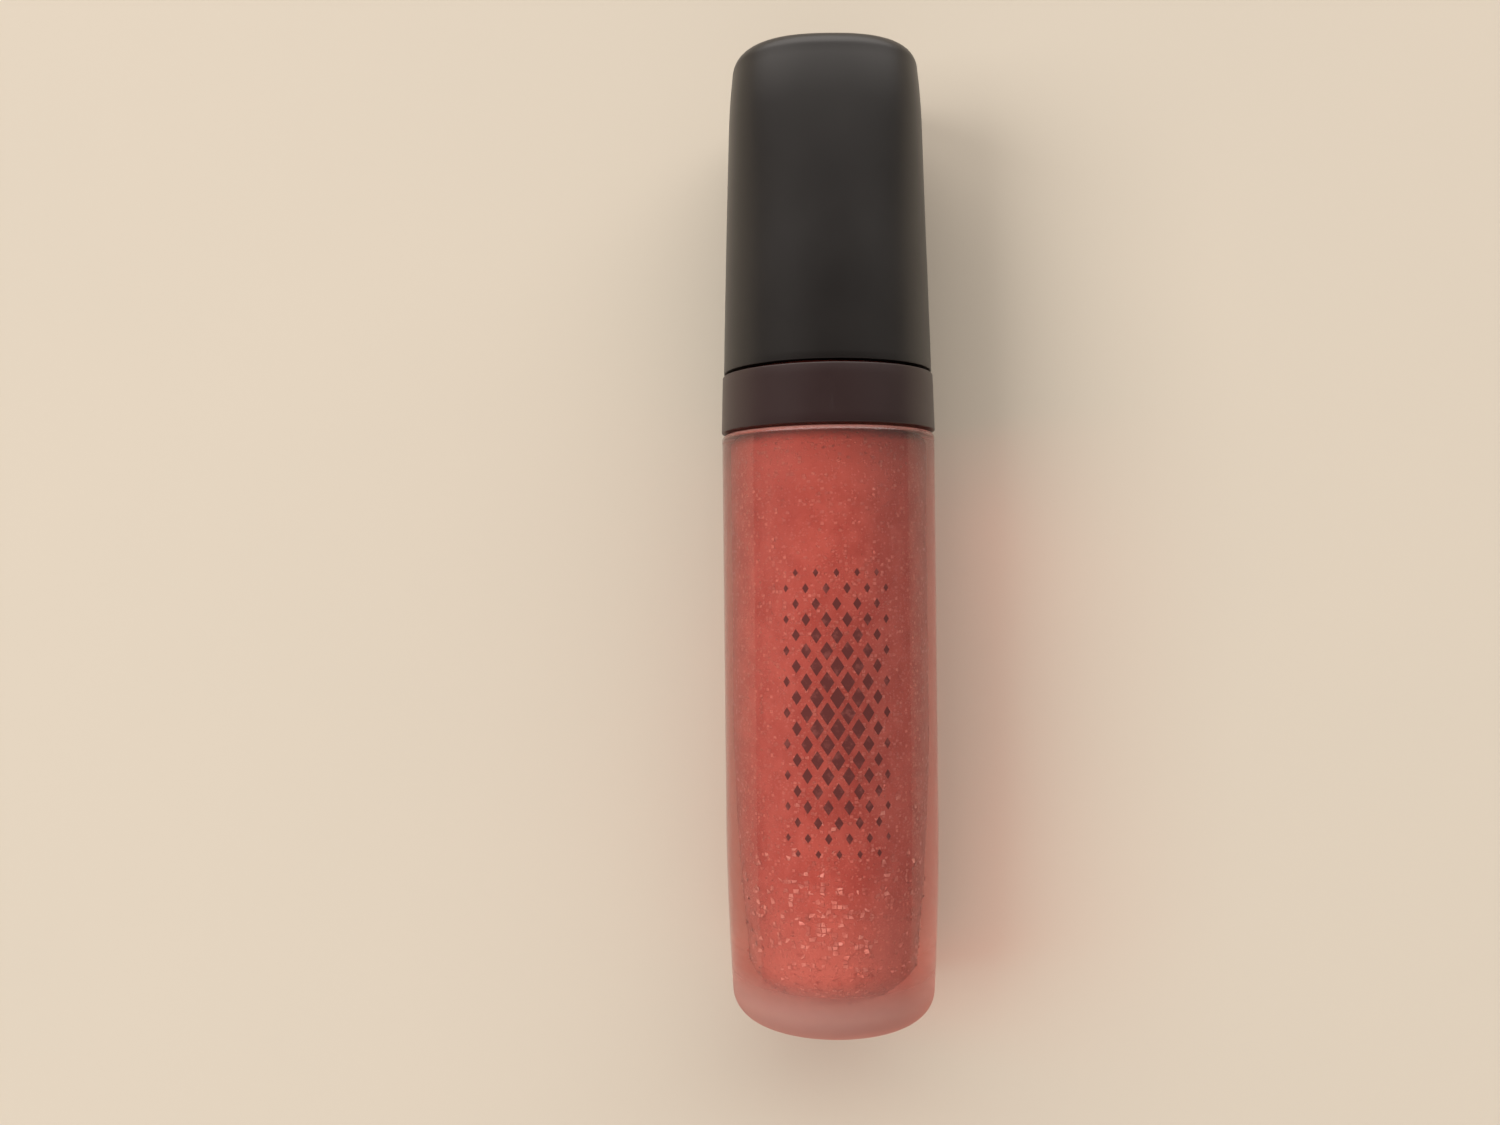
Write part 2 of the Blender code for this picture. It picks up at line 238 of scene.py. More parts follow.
def turnOutline(name, outline, sides, ring=False):
    # draw the outline (radius, height in mm) point by point beside the axis, then spin it round
    startMesh()
    bpy.ops.mesh.primitive_plane_add(size=mm, enter_editmode=True, location=(0, 0, 0))
    bpy.ops.mesh.select_mode(type="VERT")
    bpy.ops.mesh.select_all(action="SELECT")
    bpy.ops.mesh.merge(type="CENTER")
    spots = [Vector((0, baseEnd + height * mm, axisHeight + radius * mm)) for radius, height in outline]
    if ring:
        spots.append(spots[0])
    bpy.ops.transform.translate(value=spots[0])
    for last, spot in zip(spots, spots[1:]):
        bpy.ops.mesh.extrude_region_move(TRANSFORM_OT_translate={"value": spot - last})
    bpy.ops.mesh.select_all(action="SELECT")
    bpy.ops.mesh.spin(steps=sides, angle=2 * math.pi, center=(0, 0, axisHeight), axis=(0, 1, 0))
    bpy.ops.mesh.select_all(action="SELECT")
    bpy.ops.mesh.remove_doubles(threshold=mergeGap)
    bpy.ops.mesh.normals_make_consistent(inside=False)
    bpy.ops.object.mode_set(mode="OBJECT")
    return nameMesh(name)


def polar(point):
    # radius and height in mm, and the angle about the axis from straight up, of a point of a mesh
    across, up = point.x, point.z - axisHeight
    return math.hypot(across, up) / mm, (point.y - baseEnd) / mm, math.atan2(across, up)


def fromPolar(radius, height, angle):
    across, up = radius * mm * math.sin(angle), radius * mm * math.cos(angle)
    return Vector((across, baseEnd + height * mm, axisHeight + up))


def inOrder(faces):
    # by their vertices, because spin leaves the faces in no fixed order
    return sorted(faces, key=lambda face: sorted(face.vertices))


def shrink(mesh, face, size):
    middle = face.center.copy()
    for index in face.vertices:
        mesh.vertices[index].co = middle.lerp(mesh.vertices[index].co, size)


def finishPiece(piece, material, body, nodes):
    piece.data.materials.clear()
    piece.data.materials.append(material)
    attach(piece, body)
    if nodes:
        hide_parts(*nodes)
    print("made", piece.name, "with", len(piece.data.polygons), "faces")
    return piece


# Screw thread, shared by the neck and the inner cap

threadSettings = {
    "spigotDrop": 0.5, "aboveSpigot": 2.2, "pitch": 2.5, "turns": 2.0,
    "depth": 0.7, "crest": 0.18, "foot": 0.36, "runOut": 0.25,
}
spigotTop = ends("neck_collar")[1] - threadSettings["spigotDrop"]
threadLow = spigotTop + threadSettings["aboveSpigot"]
threadHigh = threadLow + threadSettings["turns"] * threadSettings["pitch"]


def threadRise(height, angle):
    # share of the thread's depth on its helix, faded out at both ends
    use = threadSettings
    turn = ((angle - math.pi / 2) % (2 * math.pi)) / (2 * math.pi)
    along = (height - threadLow) / use["pitch"] - turn
    nearest = max(0, round(along))
    flank = (use["foot"] - abs(along - nearest)) / (use["foot"] - use["crest"])
    fade = min(nearest + turn, use["turns"] - nearest - turn) / use["runOut"]
    return max(0.0, min(1.0, flank)) * max(0.0, min(1.0, fade))


def cutThread(piece, plainRadius, outwards, lift):
    # move the close rings of a plain wall onto the thread
    for vertex in piece.data.vertices:
        radius, height, angle = polar(vertex.co)
        if abs(radius - plainRadius) < nearWall:
            rise = threadRise(height - lift, angle)
            vertex.co = fromPolar(radius + outwards * threadSettings["depth"] * rise, height, angle)
    piece.data.update()


# Clear bottle

bottleSettings = {
    "sides": 128, "radius": reach("bottle"),
    "baseInset": 0.5, "taperTop": 18.0, "baseFillet": 2.4, "baseStep": 0.4,
    "shoulder": ends("neck_collar")[0] - 0.2, "shoulderFillet": 0.5, "spigotRadius": 7.0,
    "neckRadius": 5.8, "neckTop": ends("bottle")[1], "neckRound": 0.3, "threadRings": 64, "threadMargin": 1.2,
    "bore": 4.1, "cavity": 5.66, "cavityShoulder": 1.2, "draft": 0.95, "draftTop": 28.0, "draftCurve": 1.8,
    "baseThickness": 2.2, "floorRise": 3.4,
    "tint": (0.99, 0.97, 0.965, 1), "lampTint": (0.95, 0.57, 0.50, 1), "index": 1.57, "roughness": 0.015,
    "soak": (0.92, 0.36, 0.30, 1), "soakPerMetre": 34.0,
    # the frost's pink is a painted reflection of the gloss, and the haze is a painted lightening of the whole wall
    "paintedHaze": 0.12, "frostFoot": 1.6, "frostTop": 6.2, "frostGlow": 0.6,
    "ledgeLiftRise": 0.3, "ledgeFull": 0.05, "ledgeEnd": 0.1,
    "frostAndReflectedPink": (0.60, 0.38, 0.33, 1), "frostAndReflectedDeep": (0.53, 0.32, 0.28, 1), "glowTint": (0.565, 0.35, 0.305, 1),
    "waveScale": 260.0, "milkScale": 900.0, "grainScale": 9000.0,
}
cavityTop = bottleSettings["shoulder"] - bottleSettings["cavityShoulder"]


def makeClearPlastic():
    use = bottleSettings
    material, start, shader = newMaterial("clearPlastic", Base_Color=use["tint"], IOR=use["index"],
                                          Transmission_Weight=1.0, Roughness=use["roughness"])
    waves = noise(start, objectPlace(start, (1, 0.3, 1)), use["waveScale"], 2.0)
    feed(bump(start, waves, 0.02 * mm, 0.3), shader, "Normal")
    # the mould's end and the ledge under the collar have a frosted finish, which glows with the light from outside;
    # its pink is a painted reflection of the gloss seen in the clear plastic, and on the ledge it is painted light
    # that lightens the shade under the collar
    place = objectPlace(start)
    frostAndReflected = mixColour(start, noise(start, place, use["milkScale"], 4.0), use["frostAndReflectedPink"], use["frostAndReflectedDeep"])
    grain = noise(start, place, use["grainScale"], 2.0)
    satin = start.make("ShaderNodeBsdfPrincipled", {}, {
        "Base Color": frostAndReflected, "Roughness": 0.4 + 0.2 * grain, "Normal": bump(start, grain, 0.02 * mm, 0.4)})
    glow = start.make("ShaderNodeBsdfTranslucent", {}, {"Color": use["glowTint"]})
    frosted = start.make("ShaderNodeMixShader", {}, {0: use["frostGlow"], 1: satin, 2: glow})
    height, ledge = heightAlong(start), use["shoulder"]
    # painted haze: a thin share of the pink frost lies over the whole wall and lightens its dark edges; on the ledge
    # the frost lightens the shade under the collar
    low = ranged(start, height, use["frostFoot"], use["frostTop"], 1.0, use["paintedHaze"])
    rising = ranged(start, height, ledge - use["ledgeLiftRise"], ledge - use["ledgeFull"], 0.0, 1.0)
    ledgeLift = rising * (height < ledge + use["ledgeEnd"])
    clear = Wire(start.tree, shader.outputs[0])
    wall = start.make("ShaderNodeMixShader", {}, {0: low + ledgeLift, 1: clear, 2: frosted})
    letLampsThrough(start, wall, use["lampTint"])
    soak = start.make("ShaderNodeVolumeAbsorption", {}, {"Color": use["soak"], "Density": use["soakPerMetre"]})
    start.tree.links.new(soak.socket, start.tree.nodes["Material Output"].inputs["Volume"])
    return material


def cavitySide(lift):
    # the cavity's wall from the neck down to the middle of its floor
    use = bottleSettings
    throat, radius = use["bore"] + lift, use["cavity"] + lift
    outline = arc((throat, cavityTop), (radius - throat, use["cavityShoulder"]), 90, 0, 12)
    outline += between(outline[-1], (radius, use["draftTop"]), 6)
    bowlTop = use["baseThickness"] + use["floorRise"]
    for share in shares(14):
        height = use["draftTop"] + (bowlTop - use["draftTop"]) * share
        outline.append((radius - use["draft"] * share ** use["draftCurve"], height))
    return outline + arc((0.0, bowlTop), (outline[-1][0], use["floorRise"] + lift), 0, -90, 24)[1:]


def makeBottle():
    use = bottleSettings
    side = use["radius"] - use["baseInset"]
    fillet = use["baseFillet"]
    outline = [(0.0, 0.0)] + between((0.0, 0.0), (side - fillet - use["baseStep"], 0.0), 3)
    outline += arc((side - fillet, fillet), (fillet, fillet), -90, 0, 16)
    for share in shares(14):
        height = fillet + (use["taperTop"] - fillet) * share
        outline.append((use["radius"] - use["baseInset"] * (1 - share) ** 2, height))
    edge = use["shoulderFillet"]
    outline += between(outline[-1], (use["radius"], use["shoulder"] - edge), 8)
    outline += arc((use["radius"] - edge, use["shoulder"] - edge), (edge, edge), 0, 90, 8)[1:]
    outline += [(use["spigotRadius"], use["shoulder"]), (use["spigotRadius"], spigotTop)]
    neck, margin, lip = use["neckRadius"], use["threadMargin"], use["neckRound"]
    outline += [(neck, spigotTop), (neck, threadLow - margin)]
    outline += between(outline[-1], (neck, threadHigh + margin), use["threadRings"])
    outline += arc((neck - lip, use["neckTop"] - lip), (lip, lip), 0, 90, 4)
    outline += [(use["bore"], use["neckTop"])] + cavitySide(0.0)
    piece = turnOutline("clear_bottle", outline, use["sides"])
    cutThread(piece, neck, 1, 0.0)
    finishPiece(piece, makeClearPlastic(), "bottle", ["bottle"])


makeBottle()


# Coral gloss and its glitter

glossSettings = {
    "sides": 128, "lap": 0.02, "top": ends("gloss_fill")[1], "channel": 2.5, "channelFoot": 4.2,
    "deep": (0.325, 0.059, 0.044, 1), "light": (0.415, 0.106, 0.082, 1), "flake": (0.72, 0.32, 0.26, 1),
    "lampTint": (0.72, 0.46, 0.40, 1), "cloudScale": 520.0,
    # the low pale pink is a painted highlight for glints, and the pale red under the collar is painted light against
    # its shadow
    "glintPaleLow": (0.45, 0.175, 0.14, 1), "glintPaleFrom": 15.0, "glintPaleTo": 2.6, "glintPaleShare": 0.9,
    "collarShadeLift": (0.50, 0.13, 0.10, 1), "filmAndLiftFrom": 46.0, "filmAndLiftTo": 52.0, "collarShadeLiftShare": 0.9,
    "fineCell": 0.24 * mm, "fineEdge": (0.30, 0.48), "fineLeast": 0.5,
    "coarseCell": 0.5 * mm, "coarseEdge": (0.20, 0.36), "coarseLeast": 0.74, "tilt": 0.8,
}
glitterSettings = {
    "fine_glitter": {
        "sides": 108, "cell": 0.32, "share": 0.13, "seed": 11, "lift": 0.05, "top": 60.0, "size": 0.75, "lean": 0.07,
        "glintCrowd": 0.0, "fade": 90.0,
        "foil": (0.57, 0.21, 0.168, 1), "foilDeep": (0.42, 0.12, 0.094, 1)},
    "coarse_glitter": {
        "sides": 80, "cell": 0.43, "share": 0.15, "seed": 5, "lift": 0.07, "top": 22.0, "size": 0.80, "lean": 0.21,
        "glintCrowd": 2.6, "fade": 22.0,
        "foil": (0.69, 0.36, 0.31, 1), "foilDeep": (0.48, 0.17, 0.14, 1)},
}
# where the coarse flakes crowd, in mm along the tube and in radians round it: the spot where the glint lamp's
# highlight falls, so the crowd there is partly a painted highlight
glintSpotSettings = {"height": 10.0, "spread": 3.6, "angle": -0.08, "turn": 0.38}


def flakeField(start, place, cell, tilt):
    # tilted plates, one for each cell: distance from its middle, two random numbers, and its slope as a height
    distance = start.make("ShaderNodeTexVoronoi", {}, {"Vector": place, "Scale": 1 / cell}, "Distance")
    colour, middle = distance.other("Color"), distance.other("Position")
    offset = start.make("ShaderNodeVectorMath", {"operation": "SUBTRACT"}, {0: place, 1: middle})
    lean = start.make("ShaderNodeVectorMath", {"operation": "SUBTRACT"}, {0: colour, 1: (0.5, 0.5, 0.5)})
    height = start.make("ShaderNodeVectorMath", {"operation": "DOT_PRODUCT"}, {0: offset, 1: lean}, "Value") * tilt
    red = start.make("ShaderNodeSeparateColor", {}, {0: colour}, "Red")
    return distance, red, red.other("Green"), height


def makeGlossCoral():
    use = glossSettings
    material, start, shader = newMaterial("glossCoral", Specular_IOR_Level=0.2)
    place = objectPlace(start)
    drawn = noise(start, objectPlace(start, (1, 0.6, 1)), use["cloudScale"], 4.0, 0.65)
    cloud = ranged(start, drawn, 0.3, 0.7, 0.0, 1.0)
    fineDistance, fineRed, fineGreen, fineHeight = flakeField(start, place, use["fineCell"], use["tilt"])
    bigDistance, bigRed, bigGreen, bigHeight = flakeField(start, place, use["coarseCell"], use["tilt"])
    fine = ranged(start, fineDistance, *use["fineEdge"], 1.0, 0.0) * (fineRed > use["fineLeast"])
    big = ranged(start, bigDistance, *use["coarseEdge"], 1.0, 0.0) * (bigRed > use["coarseLeast"])
    # the gloss is paler towards the bottom, a painted highlight standing in for the glitter's glints there, and paler
    # under the shoulder, painted light that offsets the collar's shadow
    height = heightAlong(start)
    glintPaleLow = ranged(start, height, use["glintPaleTo"], use["glintPaleFrom"], use["glintPaleShare"], 0.0)
    collarShadeLift = ranged(start, height, use["filmAndLiftFrom"], use["filmAndLiftTo"], 0.0, use["collarShadeLiftShare"])
    even = mixColour(start, cloud, use["deep"], use["light"])
    body = mixColour(start, collarShadeLift, mixColour(start, glintPaleLow, even, use["glintPaleLow"]), use["collarShadeLift"])
    speckled = mixColour(start, fine * (0.10 + 0.26 * fineGreen), body, use["flake"])
    feed(mixColour(start, big * (0.14 + 0.34 * bigGreen), speckled, use["flake"]), shader, "Base Color")
    plates = start.total("MAXIMUM", fine * 0.6, big)
    feed(plates * 0.45, shader, "Metallic")
    feed(0.5 - 0.15 * plates, shader, "Roughness")
    feed(bump(start, fineHeight * fine + bigHeight * big, 1.0, 1.0), shader, "Normal")
    letLampsThrough(start, Wire(start.tree, shader.outputs[0]), use["lampTint"])
    return material


def makeGloss():
    use = glossSettings
    outline = [(0.0, use["channelFoot"]), (use["channel"], use["channelFoot"]), (use["channel"], use["top"])]
    outline += [(bottleSettings["bore"] + use["lap"], use["top"])]
    piece = turnOutline("coral_gloss", outline + cavitySide(use["lap"]), use["sides"])
    finishPiece(piece, makeGlossCoral(), "bottle", ["gloss_fill"])


def makeGlitterFoil(name):
    use = glitterSettings[name]
    material, start, shader = newMaterial(name + "Foil", Metallic=0.35)
    tone = noise(start, objectPlace(start), 1500.0, 1.0)
    deep = ranged(start, tone, 0.35, 0.65, 0.0, 1.0)
    feed(mixColour(start, deep, use["foil"], use["foilDeep"]), shader, "Base Color")
    feed(0.22 + 0.16 * tone, shader, "Roughness")
    return material


def makeGlitter(name):
    # an uneven net over the gloss, thinned out to single plates that are cut apart and shrunk
    use = glitterSettings[name]
    side = [spot for spot in cavitySide(use["lift"]) if spot[1] <= use["top"]]
    outline = [side[0]]
    for first, last in zip(side, side[1:]):
        length = math.dist(first, last)
        outline += between(first, last, max(1, round(length / use["cell"])))
    piece = turnOutline(name, outline[:-1], use["sides"])
    bpy.ops.object.mode_set(mode="EDIT")
    bpy.ops.mesh.select_all(action="SELECT")
    bpy.ops.transform.vertex_random(offset=use["lean"] * mm, seed=use["seed"])
    bpy.ops.mesh.select_mode(type="FACE")
    bpy.ops.object.mode_set(mode="OBJECT")
    draw = random.Random(use["seed"])
    for face in inOrder(piece.data.polygons):
        height, angle = polar(face.center)[1:]
        # more coarse plates are kept where the glint lamp's highlight falls, a painted highlight on top of the even
        # glitter
        up = (height - glintSpotSettings["height"]) / glintSpotSettings["spread"]
        turn = (angle - glintSpotSettings["angle"]) / glintSpotSettings["turn"]
        crowd = 1 + use["glintCrowd"] * math.exp(-up ** 2 - turn ** 2)
        face.select = draw.random() > use["share"] * crowd * (1 - (height / use["fade"]) ** 2)
    bpy.ops.object.mode_set(mode="EDIT")
    bpy.ops.mesh.delete(type="FACE")
    bpy.ops.mesh.select_all(action="SELECT")
    bpy.ops.mesh.edge_split(type="VERT")
    bpy.ops.object.mode_set(mode="OBJECT")
    for face in piece.data.polygons:
        shrink(piece.data, face, use["size"])
    piece.data.update()
    finishPiece(piece, makeGlitterFoil(name), "bottle", [])


makeGloss()
for glitterName in glitterSettings:
    makeGlitter(glitterName)


# Printed band of lozenges on the bottle, a plain ornament

printSettings = {
    "low": 15.5, "high": 41.5, "halfWidth": 5.2, "cell": 1.25, "stretch": 1.5, "lift": 0.012,
    "smallest": 0.22, "largest": 0.75, "fadePower": 1.6, "leastShare": 0.06, "wearScale": 1100.0,
    "ink": (0.095, 0.024, 0.022, 1), "inkWorn": (0.17, 0.048, 0.042, 1),
}


def makeBrownInk():
    use = printSettings
    material, start, shader = newMaterial("brownInk", Roughness=0.45, Specular_IOR_Level=0.2)
    worn = ranged(start, noise(start, objectPlace(start), use["wearScale"], 3.0, 0.7), 0.5, 0.72, 0.0, 1.0)
    feed(mixColour(start, worn, use["ink"], use["inkWorn"]), shader, "Base Color")
    return material


def makePrint():
    # a flat net of lozenges, each shrunk by its place in the band, then wrapped round the bottle
    use = printSettings
    middle = (use["low"] + use["high"]) / 2
    halfLength = (use["high"] - use["low"]) / 2
    cells = 2 * math.ceil((halfLength / use["stretch"] + use["halfWidth"]) / use["cell"])
    startMesh()
    bpy.ops.mesh.primitive_grid_add(x_subdivisions=cells, y_subdivisions=cells, size=cells * use["cell"],
                                    enter_editmode=True, location=(0, 0, 0))
    bpy.ops.transform.rotate(value=math.pi / 4, orient_axis="Z", center_override=(0, 0, 0))
    bpy.ops.transform.resize(value=(1, use["stretch"], 1), center_override=(0, 0, 0))
    bpy.ops.mesh.select_mode(type="FACE")
    bpy.ops.mesh.edge_split(type="VERT")
    bpy.ops.object.mode_set(mode="OBJECT")
    piece = bpy.context.object
    mesh = piece.data
    gone = set()
    for face in mesh.polygons:
        across = abs(face.center.x) / use["halfWidth"]
        along = abs(face.center.y) / halfLength
        share = (1 - across ** 2) * (1 - along ** use["fadePower"])
        size = use["smallest"] + (use["largest"] - use["smallest"]) * max(0.0, share)
        if across > 1 or along > 1 or share < use["leastShare"]:
            gone.add(face.index)
        shrink(mesh, face, size)
    for face in mesh.polygons:
        face.select = face.index in gone
    bpy.ops.object.mode_set(mode="EDIT")
    bpy.ops.mesh.delete(type="FACE")
    bpy.ops.mesh.select_all(action="SELECT")
    bpy.ops.mesh.subdivide(number_cuts=1)
    bpy.ops.object.mode_set(mode="OBJECT")
    radius = bottleSettings["radius"] + use["lift"]
    for vertex in mesh.vertices:
        vertex.co = fromPolar(radius, middle + vertex.co.y, vertex.co.x / radius)
    mesh.update()
    finishPiece(nameMesh("printed_band"), makeBrownInk(), "bottle", [])


makePrint()


# Black cap and collar

capSettings = {
    "sides": 128, "rim": ends("outer_cap")[0], "top": ends("outer_cap")[1] - 0.12, "rimBevel": 0.1,
    "radius": reach("outer_cap"), "taper": 0.72, "bulge": 0.22, "draw": 0.35, "drawHeight": 6.4,
    "fillet": 1.4, "dome": 0.23, "square": 0.5, "squareFrom": 70.0, "wallSteps": 40, "crownSteps": 8,
    "bore": 8.3, "ledge": ends("inner_cap")[1] + 0.2, "hollow": 7.25, "hollowCorner": 0.4,
    "crown": 1.8, "crownEdge": 0.1,
    "dark": (0.0052, 0.0037, 0.0032, 1), "pale": (0.0084, 0.0062, 0.0055, 1),
}
collarSettings = {
    "sides": 128, "foot": ends("neck_collar")[0], "top": ends("neck_collar")[1], "bevel": 0.1, "bore": 7.2,
    "footRadius": reach("neck_collar"), "topRadius": reach("outer_cap") + 0.12,
    # the collar's blacks lean to red: a painted reflection of the coral gloss beside it
    "dark": (0.0185, 0.0080, 0.0080, 1), "pale": (0.027, 0.0122, 0.0120, 1),
}
satinSettings = {
    "cloudScale": 180.0, "grainScale": 5200.0, "hairScale": 2600.0, "wearScale": 140.0, "roughness": 0.32,
}


def makeBlackSatin(name, use):
    material, start, shader = newMaterial(name, Specular_IOR_Level=0.46)
    place = objectPlace(start)
    cloud = noise(start, place, satinSettings["cloudScale"], 4.0, 0.6)
    feed(mixColour(start, cloud, use["dark"], use["pale"]), shader, "Base Color")
    # fine moulded grain, and hair scratches that run along the tube
    grain = noise(start, place, satinSettings["grainScale"], 2.0)
    drawn = noise(start, objectPlace(start, (1.0, 0.03, 1.0)), satinSettings["hairScale"], 2.0)
    hair = ranged(start, drawn, 0.66, 0.74, 0.0, 1.0)
    worn = hair * ranged(start, noise(start, place, satinSettings["wearScale"], 2.0), 0.48, 0.7, 0.0, 1.0)
    feed(satinSettings["roughness"] + 0.10 * cloud + 0.10 * worn, shader, "Roughness")
    feed(bump(start, grain * 0.5 - worn, 0.01 * mm, 0.3), shader, "Normal")
    return material


def capSide(height):
    use = capSettings
    share = (height - use["rim"]) / (use["top"] - use["rim"])
    near = max(0.0, (height - use["top"]) / use["drawHeight"] + 1)
    return use["radius"] - use["taper"] * share - use["bulge"] * share ** 2 - use["draw"] * near ** 2


def makeCap():
    use = capSettings
    bevel = use["rimBevel"]
    filletFoot = use["top"] - use["dome"] - use["fillet"]
    crown = capSide(filletFoot) - use["fillet"]
    hollowTop = use["top"] - use["dome"] - use["crown"]
    corner = use["hollowCorner"]
    outline = [(0.0, hollowTop), (use["hollow"] - corner, hollowTop), (use["hollow"], hollowTop - corner)]
    outline += [(use["hollow"], use["ledge"]), (use["bore"], use["ledge"]), (use["bore"], use["rim"] + bevel)]
    outline += [(use["bore"] + bevel, use["rim"])]
    outline += arc((use["radius"] - bevel, use["rim"] + bevel), (bevel, bevel), -90, 0, 4)
    low = use["rim"] + bevel
    for share in shares(use["wallSteps"]):
        height = low + (filletFoot - low) * share
        outline.append((capSide(height), height))
    outline += arc((crown, filletFoot), (use["fillet"], use["fillet"]), 0, 90, 14)[1:]
    for inward in shares(use["crownSteps"]):
        share = 1 - inward
        outline.append((crown * share, use["top"] - use["dome"] * share ** 2))
    piece = turnOutline("black_cap", outline, use["sides"])
    # towards the crown the round wall turns a little square
    for vertex in piece.data.vertices:
        radius, height, angle = polar(vertex.co)
        share = max(0.0, (height - use["squareFrom"]) / (use["top"] - use["squareFrom"]))
        onCrown = height > hollowTop + use["crownEdge"]
        if share > 0 and (onCrown or radius > capSide(height) - nearWall):
            power = 2 + use["square"] * share ** 2 * (3 - 2 * share)
            widen = (abs(math.sin(angle)) ** power + abs(math.cos(angle)) ** power) ** (-1 / power)
            vertex.co = fromPolar(radius * widen, height, angle)
    piece.data.update()
    finishPiece(piece, makeBlackSatin("capSatin", use), "cap", ["outer_cap"])


def makeCollar():
    use = collarSettings
    bevel = use["bevel"]
    outline = [(use["bore"], use["foot"])]
    outline += arc((use["footRadius"] - bevel, use["foot"] + bevel), (bevel, bevel), -90, 0, 4)
    outline += between(outline[-1], (use["topRadius"], use["top"] - bevel), 6)
    outline += arc((use["topRadius"] - bevel, use["top"] - bevel), (bevel, bevel), 0, 90, 4)[1:]
    outline += [(use["bore"], use["top"])]
    piece = turnOutline("black_collar", outline, use["sides"], ring=True)
    finishPiece(piece, makeBlackSatin("collarSatin", use), "bottle", ["neck_collar"])


makeCap()
makeCollar()


# Wiper, seal and threaded inner cap

wiperSettings = {
    "sides": 64, "foot": ends("wiper")[0], "top": ends("wiper")[1], "flange": reach("wiper"), "flangeHeight": 0.8,
    "sleeve": 3.88, "inside": 3.32, "orifice": 2.5, "lipHeight": 2.0, "lipWall": 0.6, "round": 0.16,
    "streakScale": 700.0, "streakReach": 5.0, "wetFrom": 3.6, "wetTo": 6.4,
    "pale": (0.50, 0.465, 0.425, 1), "stain": (0.50, 0.15, 0.11, 1),
}
sealSettings = {
    "sides": 64, "foot": ends("cap_seal")[0], "top": ends("cap_seal")[1], "inside": 3.62,
    "outside": reach("cap_seal"), "round": 0.14, "pitScale": 7000.0,
    "foam": (0.84, 0.82, 0.78, 1), "pit": (0.62, 0.60, 0.56, 1),
}
innerCapSettings = {
    "sides": 96, "foot": ends("inner_cap")[0], "top": ends("inner_cap")[1], "ceiling": 1.2, "root": 7.4,
    "outside": reach("inner_cap"), "stemHole": 1.9, "threadRings": 64, "threadMargin": 2.4, "round": 0.12,
    "pale": (0.74, 0.72, 0.68, 1), "shade": (0.62, 0.60, 0.56, 1),
}


def makeSoftWiper():
    use = wiperSettings
    material, start, shader = newMaterial("softWiper", Subsurface_Weight=0.15, Subsurface_Scale=0.001)
    height = heightAlong(start)
    streak = noise(start, objectPlace(start, (1, 0.15, 1)), use["streakScale"], 3.0)
    # gloss clings to the lip and, in streaks, to the sleeve above it
    reached = height + use["streakReach"] * streak
    wet = ranged(start, reached, use["foot"] + use["wetFrom"], use["foot"] + use["wetTo"], 1.0, 0.0)
    feed(mixColour(start, wet, use["pale"], use["stain"]), shader, "Base Color")
    feed(0.42 - 0.3 * wet, shader, "Roughness")
    return material


def makeSealFoam():
    use = sealSettings
    material, start, shader = newMaterial("sealFoam", Roughness=0.85)
    place = objectPlace(start)
    pits = start.make("ShaderNodeTexVoronoi", {}, {"Vector": place, "Scale": use["pitScale"]}, "Distance")
    hollows = ranged(start, pits, 0.15, 0.4, 1.0, 0.0)
    feed(mixColour(start, hollows * 0.6, use["foam"], use["pit"]), shader, "Base Color")
    feed(bump(start, 1 - hollows, 0.03 * mm, 0.6), shader, "Normal")
    return material


def makeNaturalPlastic():
    use = innerCapSettings
    material, start, shader = newMaterial("naturalPlastic", Subsurface_Weight=0.1, Subsurface_Scale=0.001)
    place = objectPlace(start)
    cloud = noise(start, place, 240.0, 3.0)
    feed(mixColour(start, cloud, use["pale"], use["shade"]), shader, "Base Color")
    feed(0.38 + 0.15 * cloud, shader, "Roughness")
    feed(bump(start, noise(start, place, 4200.0, 2.0), 0.01 * mm, 0.4), shader, "Normal")
    return material


def makeWiper():
    use = wiperSettings
    flangeFoot = use["top"] - use["flangeHeight"]
    lipTop = use["foot"] + use["lipHeight"]
    outline = [(use["inside"], use["top"]), (use["flange"], use["top"]), (use["flange"], flangeFoot)]
    outline += [(use["sleeve"], flangeFoot), (use["sleeve"], lipTop), (use["orifice"] + use["lipWall"], use["foot"])]
    outline += [(use["orifice"], use["foot"]), (use["inside"], lipTop)]
    piece = turnOutline("neck_wiper", softCorners(outline, use["round"]), use["sides"], ring=True)
    finishPiece(piece, makeSoftWiper(), "bottle", ["wiper"])


def makeSeal():
    use = sealSettings
    outline = [(use["inside"], use["foot"]), (use["outside"], use["foot"])]
    outline += [(use["outside"], use["top"]), (use["inside"], use["top"])]
    piece = turnOutline("foam_seal", softCorners(outline, use["round"]), use["sides"], ring=True)
    finishPiece(piece, makeSealFoam(), "seal", ["cap_seal"])


def makeInnerCap(material):
    use = innerCapSettings
    ceilingFoot = use["top"] - use["ceiling"]
    outline = [(use["root"], use["foot"]), (use["outside"], use["foot"]), (use["outside"], use["top"])]
    outline += [(use["stemHole"], use["top"]), (use["stemHole"], ceilingFoot), (use["root"], ceilingFoot)]
    outline = softCorners(outline, use["round"])
    outline += between(
        (use["root"], threadHigh + use["threadMargin"]), (use["root"], threadLow), use["threadRings"])
    piece = turnOutline("threaded_inner_cap", outline, use["sides"], ring=True)
    cutThread(piece, use["root"], -1, threadSettings["pitch"] / 2)
    finishPiece(piece, material, "cap", ["inner_cap"])


naturalPlastic = makeNaturalPlastic()
makeWiper()
makeSeal()
makeInnerCap(naturalPlastic)


# Wand: stem, applicator core and flocked tip

